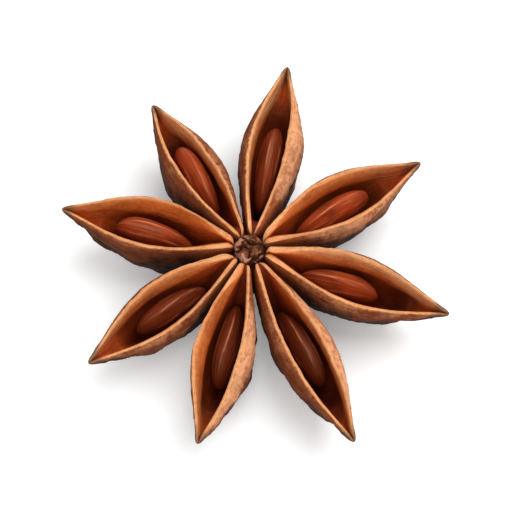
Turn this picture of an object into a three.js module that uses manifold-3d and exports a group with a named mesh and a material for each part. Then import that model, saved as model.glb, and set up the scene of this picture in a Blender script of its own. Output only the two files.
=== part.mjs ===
// Star anise pod: eight woody, boat-shaped carpels joined to one central column, each split open along
// its upper seam and holding one loose seed. Millimetres, +Z up. The pod lies on its keels, open side up,
// and its origin is at the bottom centre of its bounding box.
import * as THREE from "three";
import Module from "manifold-3d";

const wasm = await Module();
wasm.setup();
const { smoothstep, lerp, degToRad } = THREE.MathUtils;

// One row for each carpel, counter-clockwise from the one beside +X. azimuth and roll are in degrees.
// length runs from the column's axis to the beak, width is the widest breadth of the flanks, bend moves the
// beak counter-clockwise and lift raises it. ahead and behind place the two ridges, as shares of half the
// width, on the counter-clockwise and the clockwise side. A positive roll swings the keel counter-clockwise.
const CARPELS = [
  { azimuth: 31, length: 19.1, width: 6.2, ahead: 0.85, behind: 0.76, roll: 4, bend: 0, lift: 0.3 },
  { azimuth: 78.5, length: 20.3, width: 6.3, ahead: 0.64, behind: 0.52, roll: -4, bend: 0.1, lift: 0.4 },
  { azimuth: 119.5, length: 18.3, width: 6, ahead: 0.62, behind: 0.56, roll: 2, bend: -0.1, lift: 0.1 },
  { azimuth: 163.2, length: 18.2, width: 6.3, ahead: 0.82, behind: 0.86, roll: 0, bend: 0.3, lift: 0.4 },
  { azimuth: 215, length: 18.4, width: 6.1, ahead: 0.7, behind: 0.84, roll: -9, bend: 0.1, lift: 0 },
  { azimuth: 256.3, length: 19.4, width: 6, ahead: 0.56, behind: 0.92, roll: 5, bend: -0.4, lift: 0.1 },
  { azimuth: 298, length: 20.8, width: 5.9, ahead: 0.6, behind: 0.62, roll: 4, bend: -0.3, lift: -0.1 },
  { azimuth: 342.6, length: 19.5, width: 6.1, ahead: 0.85, behind: 0.75, roll: 9, bend: 0.1, lift: 0.1 },
];

// One row for each carpel's seed: how far its middle lies from the column's axis, and its length.
const SEEDS = [
  { at: 9.2, length: 8.2 },
  { at: 9.8, length: 8.6 },
  { at: 9.5, length: 7.6 },
  { at: 9.1, length: 7.6 },
  { at: 8.65, length: 7.8 },
  { at: 8.75, length: 8.4 },
  { at: 9.9, length: 8.5 },
  { at: 8.7, length: 7.6 },
];

// The carpel's outline from above and its long edges. Places named _FROM and _AT are shares of its length,
// from the column's axis (0) to the beak (1).
const INNER_RADIUS = 1.6; // where the ridges end, at the groove round the column's cap
const END_WIDTH = 0.65; // of the flanks at the column and at the beak
const BELLY_AT = 0.52; // where the carpel is widest
const OUTLINE_POWER = 1.35;
const TOP_HEIGHT = 8.3; // of the ridges at the column
const TOP_DROOP = 2.6; // how much lower the beak lies
const TOP_POWER = 2.2;
const KEEL_AT = 0.54; // where the keel is lowest
const KEEL_DIP = 0.12; // how far the keel would reach below the table; the rest is worn flat
const KEEL_RISE_INWARD = 1.6; // of the keel towards the column
const KEEL_RISE_POWER = 1.4; // of its curve towards the beak
const BEAK_THICKNESS = 0.35;
const BEAK_ROUND_FROM = 0.965;
const BEND_FROM = 0.4;
const PIVOT_SHARE = 0.15; // how deep in a section the line lies that it rolls about
const NEIGHBOUR_GAP = 0.09; // half the least gap between two carpels' flanks

// The carpel's cross-section: bulging flanks, a smooth lip on each side of the opening, and the cavity.
const END_GAPE = 0.86; // what ahead and behind become at the beak
const FLANK_POWER = 2.3; // of the flank's curve, rounder at the keel
const FLANK_FULLNESS = 0.6; // power by which it stays broad above the keel
const SHOULDER = 0.32; // the share of the depth in which the flanks draw in to the ridges
const SHOULDER_POWER = 0.5;
const LEAST_MOUTH = 0.06; // half the breadth that stays open between the lips
const LIP_BREADTH = 1.02;
const LIP_DROP = 1.8;
const LIP_POWER = 1.7;
const LIP_SHRINK = 2.5; // power by which a lip gets narrower where its ridge stands further in
const BEAK_LIP_SHARE = 0.4; // the lips' breadth at the beak, as a share of the full breadth
const INNER_LIP_SHARE = 0.8; // and at the column
const WALL = 1.15;
const FLOOR_THICKNESS = 1.1;
const SLIT_DEPTH = 0.8; // of the narrow opening where there is no cavity under it
const FLOOR_POWER = 5; // of the cavity's rounding: a broad trough under the seed
const BEAK_FLOOR_POWER = 1.3; // and a keen one towards the beak
const WRINKLE = 0.24; // height of the folds in the dried husk

// Stretches of the carpel's length, as shares of it, over which a size changes smoothly.
const RIDGES_SPREAD = [BELLY_AT, 1];
const ROLL_GROWS = [0.2, 0.6];
const SLIT_OPENS = [0.1, 0.2];
const SLIT_CLOSES = [0.92, 1];
const CAVITY_DEEPENS = [0.1, 0.32];
const CAVITY_RISES = [0.7, 0.99];
const FLOOR_SHARPENS = [0.68, 0.85];
const LIPS_TURN_IN = [0.13, 0.42];
const LIPS_LEVEL_OUT = [0.84, 1];
const LIPS_WIDEN = [0.12, 0.45];
const LIPS_NARROW = [0.5, 0.95];
const FOLDS_END = [0.85, 1];

// The seeds' cross-section.
const SEED_THICKNESS = 2.6;
const SEED_HEIGHT = 6;
const SEED_CLEARANCE = 0.35; // under its lower edge
const SEED_FEET = 0.35; // how far from its middle it follows the floor, as a share of its length
const SEED_BLUNTNESS = 0.14; // how much fuller the outer end is
const SEED_RIDGE = 0.14; // how much slimmer it is towards its upper and lower edges
const SEED_POINT_POWER = 2.3; // of its outline's curve towards the ends
const SEED_FULLNESS = 0.55; // power by which it stays broad between them

// Steps of the meshes.
const STATIONS = 22;
const STATION_CROWDING = 0.4; // how much closer the stations stand towards both ends
const FLANK_STEPS = 8;
const LIP_STEPS = 2;
const CAVITY_STEPS = 4;
const SIDE_STEPS = FLANK_STEPS + LIP_STEPS + CAVITY_STEPS;
const COLUMN_STEPS = 32;
const SEED_RINGS = 12;
const SEED_SIDES = 12;

// The column's outline as [radius, height], from the stalk's scar up to the dimpled cap.
const COLUMN_OUTLINE = [
  [0, 0.9],
  [0.8, 0.5],
  [1.4, 0.45],
  [1.9, 1.2],
  [2.5, 3.5],
  [2.3, 6.2],
  [1.6, 6.8],
  [1.42, 7.5],
  [1.4, 7.9],
  [1.1, 8.15],
  [0.5, 7.85],
  [0, 7.7],
];

// The keel's height at share x of a carpel's length.
function keelHeight(carpel, x) {
  const beak = TOP_HEIGHT - TOP_DROOP + carpel.lift - BEAK_THICKNESS;
  const inward = KEEL_RISE_INWARD * Math.max(0, 1 - x / KEEL_AT) ** 2;
  const outward = (beak + KEEL_DIP) * Math.max(0, (x - KEEL_AT) / (1 - KEEL_AT)) ** KEEL_RISE_POWER;
  return inward + outward - KEEL_DIP;
}

// Every size of a carpel's cross-section at share x of its length.
function station(carpel, x) {
  const k = x < BELLY_AT ? x / BELLY_AT : (1 - x) / (1 - BELLY_AT);
  const outline = Math.sin((Math.PI / 2) * k) ** OUTLINE_POWER;
  const top = TOP_HEIGHT - TOP_DROOP * x ** TOP_POWER + carpel.lift * x ** 3;
  const depth = top - keelHeight(carpel, x);
  const open = smoothstep(x, ...SLIT_OPENS) * (1 - smoothstep(x, ...SLIT_CLOSES));
  const hollow = smoothstep(x, ...CAVITY_DEEPENS) * (1 - smoothstep(x, ...CAVITY_RISES));
  const lipDrop = LIP_DROP * smoothstep(x, ...LIPS_TURN_IN) * (1 - smoothstep(x, ...LIPS_LEVEL_OUT));
  return {
    x,
    top,
    depth,
    half: lerp(END_WIDTH, carpel.width, outline) / 2,
    ahead: lerp(carpel.ahead, END_GAPE, smoothstep(x, ...RIDGES_SPREAD)),
    behind: lerp(carpel.behind, END_GAPE, smoothstep(x, ...RIDGES_SPREAD)),
    lip:
      LIP_BREADTH *
      lerp(1, BEAK_LIP_SHARE, smoothstep(x, ...LIPS_NARROW)) *
      lerp(INNER_LIP_SHARE, 1, smoothstep(x, ...LIPS_WIDEN)),
    lipDrop,
    cavity: Math.max(hollow * (depth - FLOOR_THICKNESS) - lipDrop, SLIT_DEPTH * open, 0.01),
    floorPower: lerp(FLOOR_POWER, BEAK_FLOOR_POWER, smoothstep(x, ...FLOOR_SHARPENS)),
  };
}

// Half the breadth and the height of a cross-section at step m, from the keel (0) over the ridge and down
// to the middle of the cavity's floor (SIDE_STEPS). side is 1 counter-clockwise and -1 clockwise. outer is
// 1 at the keel and 0 from the ridge inwards.
function sectionPoint(s, m, side) {
  const gape = side > 0 ? s.ahead : s.behind;
  const ridge = s.half * gape;
  const mouth = Math.max(ridge - s.lip * (gape / END_GAPE) ** LIP_SHRINK, LEAST_MOUTH);
  if (m <= FLANK_STEPS) {
    const q = Math.cos((Math.PI / 2) * (m / FLANK_STEPS));
    const shoulder = lerp(gape, 1, Math.sin((Math.PI / 2) * Math.min(1, q / SHOULDER)) ** SHOULDER_POWER);
    const across = s.half * shoulder * (1 - q ** FLANK_POWER) ** FLANK_FULLNESS;
    return { across, z: s.top - s.depth * q, outer: q };
  }
  if (m <= FLANK_STEPS + LIP_STEPS) {
    const b = (m - FLANK_STEPS) / LIP_STEPS;
    return { across: lerp(ridge, mouth, b), z: s.top - s.lipDrop * b ** LIP_POWER, outer: 0 };
  }
  const q = Math.sin((Math.PI / 2) * ((m - FLANK_STEPS - LIP_STEPS) / CAVITY_STEPS));
  const belly = Math.max(s.half - WALL, mouth) - mouth;
  const across = (mouth + belly * Math.sin(Math.PI * q ** 0.8)) * Math.sqrt(1 - q ** s.floorPower);
  return { across, z: s.top - s.lipDrop - s.cavity * q, outer: 0 };
}

// The height of the dried husk's folds: long ones along the flank, slanting ones, and knobs on the keel.
function wrinkle(index, x, outer, side) {
  const along = Math.sin(23 * x + 5 * outer * side + 2.1 * index);
  const slanting = Math.sin(9 * outer - 11 * x + 1.3 * index + side);
  const knobs = Math.sin(37 * x + 3.7 * index) * outer;
  const fade = smoothstep(outer, 0.12, 0.5) * (1 - smoothstep(x, ...FOLDS_END));
  return WRINKLE * (0.5 * along + 0.4 * slanting + 0.6 * knobs) * fade;
}

// Turns a point of a carpel's cross-section into a point of the pod, whose column stands on x = y = 0.
// The section rolls about a line in its upper half, and the beak bends to one side.
function placed(carpel, s, across, z) {
  const pivot = s.top - PIVOT_SHARE * s.depth;
  const roll = degToRad(carpel.roll) * smoothstep(s.x, ...ROLL_GROWS);
  const bend = carpel.bend * Math.max(0, (s.x - BEND_FROM) / (1 - BEND_FROM)) ** 2;
  const sideways = across * Math.cos(roll) - (z - pivot) * Math.sin(roll) + bend;
  const azimuth = degToRad(carpel.azimuth);
  const reach = s.x * carpel.length;
  return new THREE.Vector3(
    reach * Math.cos(azimuth) - sideways * Math.sin(azimuth),
    reach * Math.sin(azimuth) + sideways * Math.cos(azimuth),
    Math.max(pivot + across * Math.sin(roll) + (z - pivot) * Math.cos(roll), 0),
  );
}

// A point on the skin of carpel number index: wrinkled outside, rounded off at the beak and kept clear of
// its neighbours.
function carpelPoint(index, x, m, side) {
  const carpel = CARPELS[index];
  const s = station(carpel, x);
  const p = sectionPoint(s, m, side);
  const pivot = s.top - PIVOT_SHARE * s.depth;
  const room = x * carpel.length * Math.sin(halfAngle(index, side)) - NEIGHBOUR_GAP;
  const across = side * limited(p.across, room);
  const up = p.z - pivot;
  const relief = wrinkle(index, x, p.outer, side);
  const end = Math.max(0, (x - BEAK_ROUND_FROM) / (1 - BEAK_ROUND_FROM));
  const scale = (1 + relief / Math.hypot(across, up, 0.5)) * Math.sqrt(1 - end ** 2);
  return placed(carpel, s, across * scale, pivot + up * scale);
}

// A soft minimum, so that a flank flattens against its neighbour.
function limited(value, limit) {
  const power = 8;
  return (value * limit) / (value ** power + limit ** power) ** (1 / power);
}

// Half the angle to the neighbour on one side, in radians.
function halfAngle(index, side) {
  const neighbour = CARPELS[(index + side + CARPELS.length) % CARPELS.length];
  const apart = Math.abs(neighbour.azimuth - CARPELS[index].azimuth);
  return degToRad(Math.min(apart, 360 - apart) / 2);
}

// Equal steps of one whole turn, in radians.
function turnsOf(steps) {
  return Array.from({ length: steps }, (_, j) => (2 * Math.PI * j) / steps);
}

// A closed skin over rings of equal length, with a point at each end.
function closedSkin(rings, first, last) {
  const sides = rings[0].length;
  const points = [...rings.flat(), first, last];
  const [firstAt, lastAt] = [points.length - 2, points.length - 1];
  const faces = [];
  for (let j = 0; j < sides; j++) {
    const next = (j + 1) % sides;
    faces.push([firstAt, next, j]);
    for (let i = 0; i + 1 < rings.length; i++) {
      const [a, b] = [i * sides + j, i * sides + next];
      faces.push([a, b, b + sides], [a, b + sides, a + sides]);
    }
    faces.push([lastAt, (rings.length - 1) * sides + j, (rings.length - 1) * sides + next]);
  }
  const geometry = new THREE.BufferGeometry().setFromPoints(points);
  geometry.setIndex(faces.flat());
  return geometry;
}

// The closed solid of one carpel, from its end in the column to its beak.
function carpelGeometry(index) {
  const start = INNER_RADIUS / CARPELS[index].length;
  const rings = Array.from({ length: STATIONS }, (_, i) => {
    const even = i / STATIONS;
    const x = lerp(start, 1, lerp(even, 0.5 - 0.5 * Math.cos(Math.PI * even), STATION_CROWDING));
    const ring = [];
    for (let m = 0; m <= SIDE_STEPS; m++) ring.push(carpelPoint(index, x, m, 1));
    for (let m = SIDE_STEPS - 1; m > 0; m--) ring.push(carpelPoint(index, x, m, -1));
    return ring;
  });
  const inner = rings[0].reduce((sum, p) => sum.add(p), new THREE.Vector3()).divideScalar(rings[0].length);
  return closedSkin(rings, inner, carpelPoint(index, 1, 0, 1));
}

// The height of the cavity's floor at a distance from the column's axis.
function floorHeight(carpel, distance) {
  const s = station(carpel, distance / carpel.length);
  return s.top - s.lipDrop - s.cavity;
}

// A seed on its narrow edge, its long axis along the cavity's floor and its upper edge drawn to a ridge.
function seedGeometry(index) {
  const carpel = CARPELS[index];
  const { at, length } = SEEDS[index];
  const foot = SEED_FEET * length;
  const slope = (floorHeight(carpel, at + foot) - floorHeight(carpel, at - foot)) / (2 * foot);
  const middle = floorHeight(carpel, at) + SEED_CLEARANCE + SEED_HEIGHT / 2;
  const seedPoint = (a, turn) => {
    const along = (a * length) / 2;
    const swell = (1 - Math.abs(a) ** SEED_POINT_POWER) ** SEED_FULLNESS * (1 + SEED_BLUNTNESS * a);
    const across = (SEED_THICKNESS / 2) * swell * Math.sin(turn) * (1 - SEED_RIDGE * Math.cos(turn) ** 2);
    const z = middle + slope * along + (SEED_HEIGHT / 2) * swell * Math.cos(turn);
    return placed(carpel, station(carpel, (at + along) / carpel.length), across, z);
  };
  const rings = [];
  for (let i = 1; i <= SEED_RINGS; i++) {
    const a = -Math.cos((Math.PI * i) / (SEED_RINGS + 1));
    rings.push(turnsOf(SEED_SIDES).map((turn) => seedPoint(a, Math.PI - turn)));
  }
  return closedSkin(rings, seedPoint(-1, 0), seedPoint(1, 0));
}

// Turns a closed indexed geometry into a solid for joining.
function solidOf(geometry) {
  return new wasm.Manifold(
    new wasm.Mesh({
      numProp: 3,
      vertProperties: geometry.getAttribute("position").array,
      triVerts: new Uint32Array(geometry.index.array),
    }),
  );
}

// The central column as rings round its axis.
function columnGeometry() {
  const rings = COLUMN_OUTLINE.slice(1, -1).map(([radius, z]) =>
    turnsOf(COLUMN_STEPS).map(
      (turn) => new THREE.Vector3(radius * Math.cos(turn), radius * Math.sin(turn), z),
    ),
  );
  return closedSkin(
    rings,
    new THREE.Vector3(0, 0, COLUMN_OUTLINE[0][1]),
    new THREE.Vector3(0, 0, COLUMN_OUTLINE.at(-1)[1]),
  );
}

// The whole husk, one woody piece: eight carpels grown together at the column.
function huskGeometry() {
  const husk = CARPELS.reduce(
    (joined, _, index) => joined.add(solidOf(carpelGeometry(index))),
    solidOf(columnGeometry()),
  );
  const { vertProperties, triVerts } = husk.getMesh();
  const geometry = new THREE.BufferGeometry();
  geometry.setAttribute("position", new THREE.BufferAttribute(vertProperties, 3));
  geometry.setIndex(new THREE.BufferAttribute(triVerts, 1));
  geometry.computeVertexNormals();
  return geometry;
}

const huskBark = new THREE.MeshStandardMaterial({ color: 0x7a4528, roughness: 0.8, metalness: 0 });
const seedCoat = new THREE.MeshStandardMaterial({ color: 0x8a3c1c, roughness: 0.3, metalness: 0 });

const pod = new THREE.Group();
const husk = new THREE.Mesh(huskGeometry(), huskBark);
husk.name = "husk";
pod.add(husk);

CARPELS.forEach((_, index) => {
  const seed = new THREE.Mesh(seedGeometry(index), seedCoat);
  seed.name = `seed_${index + 1}`;
  pod.add(seed);
});

// The pod is moved sideways until its bounding box stands centred on the origin.
const middle = new THREE.Box3().setFromObject(husk).getCenter(new THREE.Vector3());
pod.position.set(-middle.x, -middle.y, 0);
const part = new THREE.Group();
part.add(pod);

export default part;
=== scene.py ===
# %% [markdown]
# # A star anise pod
#
# A star anise pod is the dried fruit of a small evergreen tree. It opens like a flower: narrow wooden
# boats, the carpels, stand round a short column, each split along its upper seam over one glossy seed.
# The frame holds the pod as nine plain solids, one husk and eight seeds. Here each of them is dressed:
# the husk gets its folded bark, its smooth lips and its hollow insides, and the seeds get their polish.

# %% Load the frame
import math

import bmesh
import bpy
import numpy as np
from mathutils import Matrix, Vector, noise


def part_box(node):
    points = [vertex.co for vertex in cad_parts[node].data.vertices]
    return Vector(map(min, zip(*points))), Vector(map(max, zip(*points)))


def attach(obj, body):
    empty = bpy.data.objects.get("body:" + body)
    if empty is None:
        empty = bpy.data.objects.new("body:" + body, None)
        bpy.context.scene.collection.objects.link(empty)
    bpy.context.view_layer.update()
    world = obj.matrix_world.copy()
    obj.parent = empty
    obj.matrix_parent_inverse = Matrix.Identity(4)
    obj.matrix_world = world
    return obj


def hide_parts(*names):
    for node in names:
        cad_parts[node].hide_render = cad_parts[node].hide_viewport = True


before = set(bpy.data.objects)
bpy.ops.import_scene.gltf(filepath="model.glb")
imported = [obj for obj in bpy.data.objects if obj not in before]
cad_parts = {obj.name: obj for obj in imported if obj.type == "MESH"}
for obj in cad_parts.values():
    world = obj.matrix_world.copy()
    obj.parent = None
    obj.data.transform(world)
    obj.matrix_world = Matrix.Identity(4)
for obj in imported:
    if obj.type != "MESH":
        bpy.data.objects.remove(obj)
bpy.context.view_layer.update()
husk_low, husk_high = (np.array(corner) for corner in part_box("husk"))
print("husk in the frame, mm:", (1000 * (husk_high - husk_low)).round(1))

# %% [markdown]
# ## Writing node trees as sums
#
# Materials and Geometry Nodes are both graphs of small nodes. Linking them by hand hides the arithmetic,
# so one class wraps a socket and lets Python's own signs add the Math nodes: `1 - mask` is then a node
# too. Every other node comes from one method, which takes its type, its settings and its inputs.

# %% Wire
class Wire:
    """One output socket. Arithmetic on it adds Math nodes to its graph."""

    def __init__(self, graph, socket):
        self.graph, self.socket = graph, socket

    def math(self, operation, *others):
        return self.graph.math(operation, self, *others)

    def __add__(self, other):
        return self.math("ADD", other)

    def __radd__(self, other):
        return self.graph.math("ADD", other, self)

    def __sub__(self, other):
        return self.math("SUBTRACT", other)

    def __rsub__(self, other):
        return self.graph.math("SUBTRACT", other, self)

    def __mul__(self, other):
        return self.math("MULTIPLY", other)

    def __rmul__(self, other):
        return self.graph.math("MULTIPLY", other, self)

    def __truediv__(self, other):
        return self.math("DIVIDE", other)

    def __rtruediv__(self, other):
        return self.graph.math("DIVIDE", other, self)

    def __pow__(self, other):
        return self.math("POWER", other)

    def sin(self):
        return self.math("SINE")

    def cos(self):
        return self.math("COSINE")

    def at_least(self, other):
        return self.math("MAXIMUM", other)

    def at_most(self, other):
        return self.math("MINIMUM", other)

    def clamped(self):
        return self.at_least(0).at_most(1)


print("signs that a wire understands: + - * / **")

# %% Graph
class Graph:
    """A node tree built by plain calls, for shaders and Geometry Nodes alike."""

    def __init__(self, tree):
        self.tree = tree

    def node(self, kind, settings=None, inputs=None, out=0):
        """Adds a node: settings are its properties, inputs its values or wires by name or number."""
        node = self.tree.nodes.new(kind)
        for name, setting in (settings or {}).items():
            setattr(node, name, setting)
        for key, value in (inputs or {}).items():
            if isinstance(value, Wire):
                self.tree.links.new(value.socket, node.inputs[key])
            else:
                node.inputs[key].default_value = value
        return Wire(self, node.outputs[out]) if len(node.outputs) else node

    def math(self, operation, *values):
        return self.node("ShaderNodeMath", {"operation": operation}, dict(enumerate(values)))

    def smooth(self, value, start, end):
        """0 before start, 1 after end and an S-curve between."""
        ranges = {"Value": value, "From Min": start, "From Max": end}
        return self.node("ShaderNodeMapRange", {"interpolation_type": "SMOOTHSTEP"}, ranges)

    def between(self, value, rise, full, fall, end):
        """Climbs from 0 to 1 between rise and full, and sinks to 0 again between fall and end."""
        return self.smooth(value, rise, full) * (1 - self.smooth(value, fall, end))

    def blend(self, first, second, share):
        return first + (second - first) * share

    def vector(self, x, y, z):
        return self.node("ShaderNodeCombineXYZ", None, {0: x, 1: y, 2: z})

    def vector_math(self, operation, *values):
        return self.node("ShaderNodeVectorMath", {"operation": operation}, dict(enumerate(values)))

    def axes(self, vector):
        split = self.node("ShaderNodeSeparateXYZ", None, {0: vector}).socket.node
        return [Wire(self, output) for output in split.outputs]

    def speckle(self, vector, scale=1.0, detail=2, roughness=0.5, stretch=None):
        """Noise from 0 to 1 with about one blob in 1/scale, drawn out where stretch is small."""
        if stretch is not None:
            vector = self.vector_math("MULTIPLY", vector, stretch)
        inputs = {"Vector": vector, "Scale": scale, "Detail": detail, "Roughness": roughness}
        return self.node("ShaderNodeTexNoise", None, inputs)


print("node helpers ready")

# %% [markdown]
# ## The sizes of the pod
#
# No two carpels of a pod are alike, so each has a row of its own: where it points, how long and wide it
# is, how far out each of its two ridges stands, and how it leans, bends and lifts its beak. "Ahead" is the
# side that one meets later when going round counter-clockwise, seen from above, and "behind" the other.
# Two more tables say how each carpel is worn and where light and shade are painted on it, and where its
# seed lies. Millimetres and degrees are used, as one would measure the pod on the table, and each tree's
# last step turns them into Blender's metres.

# %% Sizes of the eight carpels and seeds
MM = 0.001
DEGREE = math.pi / 180

CARPEL_NAMES = ("azimuth", "length", "width", "ahead", "behind", "roll", "bend", "lift")
CARPELS = [
    (31, 19.1, 6.2, 0.85, 0.76, 4, 0, 0.3),
    (78.5, 20.3, 6.3, 0.64, 0.52, -4, 0.1, 0.4),
    (119.5, 18.3, 6, 0.62, 0.56, 2, -0.1, 0.1),
    (163.2, 18.2, 6.3, 0.82, 0.86, 0, 0.3, 0.4),
    (215, 18.4, 6.1, 0.7, 0.84, -9, 0.1, 0),
    (256.3, 19.4, 6, 0.56, 0.92, 5, -0.4, 0.1),
    (298, 20.8, 5.9, 0.6, 0.62, 4, -0.3, -0.1),
    (342.6, 19.5, 6.1, 0.85, 0.75, 9, 0.1, 0.1),
]

# From 0 to 1: how far each flank has lost its dark skin, which also stands for painted light on the sides
# that face the lamp; how strongly each lip gets a painted highlight; and how dark the hollow is painted
# beyond the seed, as shade.
WEAR_AND_PAINTED_LIGHT_NAMES = ("worn ahead", "worn behind", "pale ahead", "pale behind", "pocket_shade")
WEAR_AND_PAINTED_LIGHT = [
    (0.3, 0.7, 0.3, 0.2, 0.55),
    (0.1, 1, 1, 0.5, 0.8),
    (0.05, 0.4, 0.2, 0.9, 0.8),
    (0.15, 0.3, 0.4, 0, 0.2),
    (0.4, 0.3, 0.6, 0.5, 0.25),
    (1, 0.3, 0.8, 0.3, 0.8),
    (1, 0.2, 0.4, 0.8, 0.9),
    (0.2, 0.4, 1, 0.4, 0.85),
]

# How far each seed's middle is from the column's axis, its length, and how dark it is, from 0 to 1.
SEED_NAMES = ("at", "seed length", "darkness")
SEEDS = [
    (9.2, 8.2, 0),
    (9.8, 8.6, 0.6),
    (9.5, 7.6, 0.1),
    (9.1, 7.6, 0.1),
    (8.65, 7.8, 0.8),
    (8.75, 8.4, 0.9),
    (9.9, 8.5, 1),
    (8.7, 7.6, 0.2),
]
span = 2 * sum(row[1] for row in CARPELS) / len(CARPELS)
print(len(CARPELS), "carpels, beak to beak about", round(span, 1), "mm")

# %% [markdown]
# ## The rule of a carpel
#
# A carpel is a boat. Seen from above its outline is a sine that is widest at the belly; its top edge
# droops towards the beak, and its keel rises from the table in a curve. The functions below give all of
# that at any share `x` of the length, from the column's axis to the beak, and then place a point of the
# cross-section round the column. A formula suits this better than modelling by hand, because the seeds
# can ask the same formula how high their floor is.

# %% Lengthwise curves of a carpel
QUARTER_TURN = math.pi / 2
END_WIDTH = 0.65
BELLY_AT = 0.52
OUTLINE_POWER = 1.35
TOP_HEIGHT, TOP_DROOP, TOP_POWER = 8.3, 2.6, 2.2
KEEL_AT, KEEL_DIP, KEEL_RISE_INWARD, KEEL_RISE_POWER = 0.54, 0.12, 1.6, 1.4
BEAK_THICKNESS = 0.35
END_GAPE = 0.86
LIP_BREADTH, LIP_DROP = 1.02, 1.8
BEAK_LIP_SHARE, INNER_LIP_SHARE = 0.4, 0.8
FLOOR_THICKNESS, SLIT_DEPTH, FLOOR_POWER, BEAK_FLOOR_POWER = 1.1, 0.8, 5, 1.3


def keel_height(c, x):
    """How high the keel is at share x of carpel c."""
    beak = TOP_HEIGHT - TOP_DROOP - BEAK_THICKNESS + c["lift"]
    inward = (1 - x / KEEL_AT).at_least(0) ** 2 * KEEL_RISE_INWARD
    outward = ((x - KEEL_AT) / (1 - KEEL_AT)).at_least(0) ** KEEL_RISE_POWER * (beak + KEEL_DIP)
    return inward + outward - KEEL_DIP


def station(g, c, x):
    """Every size of the cross-section at share x of carpel c."""
    outline = ((x / BELLY_AT).at_most((1 - x) / (1 - BELLY_AT)) * QUARTER_TURN).sin() ** OUTLINE_POWER
    top = TOP_HEIGHT - x**TOP_POWER * TOP_DROOP + x**3 * c["lift"]
    depth = top - keel_height(c, x)
    opening = g.between(x, 0.1, 0.2, 0.92, 1)
    hollow = g.between(x, 0.1, 0.32, 0.7, 0.99)
    lip_drop = g.between(x, 0.13, 0.42, 0.84, 1) * LIP_DROP
    cavity = (hollow * (depth - FLOOR_THICKNESS) - lip_drop).at_least(opening * SLIT_DEPTH)
    towards_beak = g.smooth(x, BELLY_AT, 1)
    return {
        "x": x,
        "top": top,
        "depth": depth,
        "half": (END_WIDTH + (c["width"] - END_WIDTH) * outline) / 2,
        "ahead": g.blend(c["ahead"], END_GAPE, towards_beak),
        "behind": g.blend(c["behind"], END_GAPE, towards_beak),
        "lip": LIP_BREADTH
        * (1 - g.smooth(x, 0.5, 0.95) * (1 - BEAK_LIP_SHARE))
        * (INNER_LIP_SHARE + g.smooth(x, 0.12, 0.45) * (1 - INNER_LIP_SHARE)),
        "lip drop": lip_drop,
        "cavity": cavity.at_least(0.01),
        "floor power": FLOOR_POWER + g.smooth(x, 0.68, 0.85) * (BEAK_FLOOR_POWER - FLOOR_POWER),
    }


print("a keel dips to", -KEEL_DIP, "mm, and is cut off level with the table")

# %% Round the column
BEND_FROM, PIVOT_SHARE = 0.4, 0.15


def placed(g, c, s, across, z):
    """Turns a point of a cross-section into a point round the column, rolled and bent as the carpel is."""
    pivot = s["top"] - s["depth"] * PIVOT_SHARE
    roll = c["roll"] * DEGREE * g.smooth(s["x"], 0.2, 0.6)
    bend = c["bend"] * ((s["x"] - BEND_FROM) / (1 - BEND_FROM)).at_least(0) ** 2
    sideways = across * roll.cos() - (z - pivot) * roll.sin() + bend
    height = pivot + across * roll.sin() + (z - pivot) * roll.cos()
    azimuth = c["azimuth"] * DEGREE
    reach = s["x"] * c["length"]
    return g.vector(
        reach * azimuth.cos() - sideways * azimuth.sin(),
        reach * azimuth.sin() + sideways * azimuth.cos(),
        height.at_least(0),
    )


print("carpels point to, degrees:", [row[0] for row in CARPELS])

# %% [markdown]
# ## A Geometry Nodes tree with named inputs
#
# Both trees of this pod start the same way: a flat grid, whose two directions become "along" and
# "around", and a row of named inputs. The grid is bent into shape by Set Position. Where its edges meet,
# Merge by Distance closes the skin, so that the result is a solid, and its faces are turned outward. One
# could also sweep a profile along a curve, but here every cross-section differs from the next.

# %% Starting a tree
def new_tree(name, input_names):
    """A new tree, and its named inputs as wires."""
    tree = bpy.data.node_groups.new(name, "GeometryNodeTree")
    tree.interface.new_socket("Geometry", in_out="OUTPUT", socket_type="NodeSocketGeometry")
    tree.interface.new_socket("Geometry", in_out="INPUT", socket_type="NodeSocketGeometry")
    for input_name in input_names:
        tree.interface.new_socket(input_name, in_out="INPUT", socket_type="NodeSocketFloat")
    g = Graph(tree)
    source = g.node("NodeGroupInput").socket.node
    return g, {output.name: Wire(g, output) for output in source.outputs if output.name}


def grid(g, along, around):
    """A flat grid, and its along (0 to 1) and around (-1 to 1), which each point remembers once moved."""
    sizes = {"Size X": 1.0, "Size Y": 2.0, "Vertices X": along, "Vertices Y": around}
    flat = g.node("GeometryNodeMeshGrid", None, sizes)
    x, y, _ = g.axes(g.node("GeometryNodeInputPosition"))
    memory = g.node("GeometryNodeCaptureAttribute").socket.node
    for name, value in (("along", x + 0.5), ("around", y)):
        memory.capture_items.new("FLOAT", name)
        g.tree.links.new(value.socket, memory.inputs[name])
    g.tree.links.new(flat.socket, memory.inputs["Geometry"])
    return [Wire(g, memory.outputs[name]) for name in ("Geometry", "along", "around")]


def keep(g, mesh, name, value, kind="FLOAT"):
    """Stores a value on the mesh's points, for its material to read."""
    settings = {"data_type": kind, "domain": "POINT"}
    inputs = {"Geometry": mesh, "Name": name, "Value": value}
    return g.node("GeometryNodeStoreNamedAttribute", settings, inputs)


def kept(g, name, kind="FLOAT"):
    """Reads a stored value back, which unlike a captured one is right where points were merged."""
    return g.node("GeometryNodeInputNamedAttribute", {"data_type": kind}, {"Name": name})


print("tree starts ready")

# %% Closing and moving the skin
MERGE_DISTANCE = 0.004
GRAIN_APART = 40  # from one piece's grain to the next one's, so that no two look alike


def grain_place(g, along, v, radius, number):
    """A place on the skin for its grain: along the piece and round a circle, so that no seam shows."""
    turn = v * math.pi
    return g.vector(along + number * GRAIN_APART, turn.cos() * radius, turn.sin() * radius)


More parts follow.
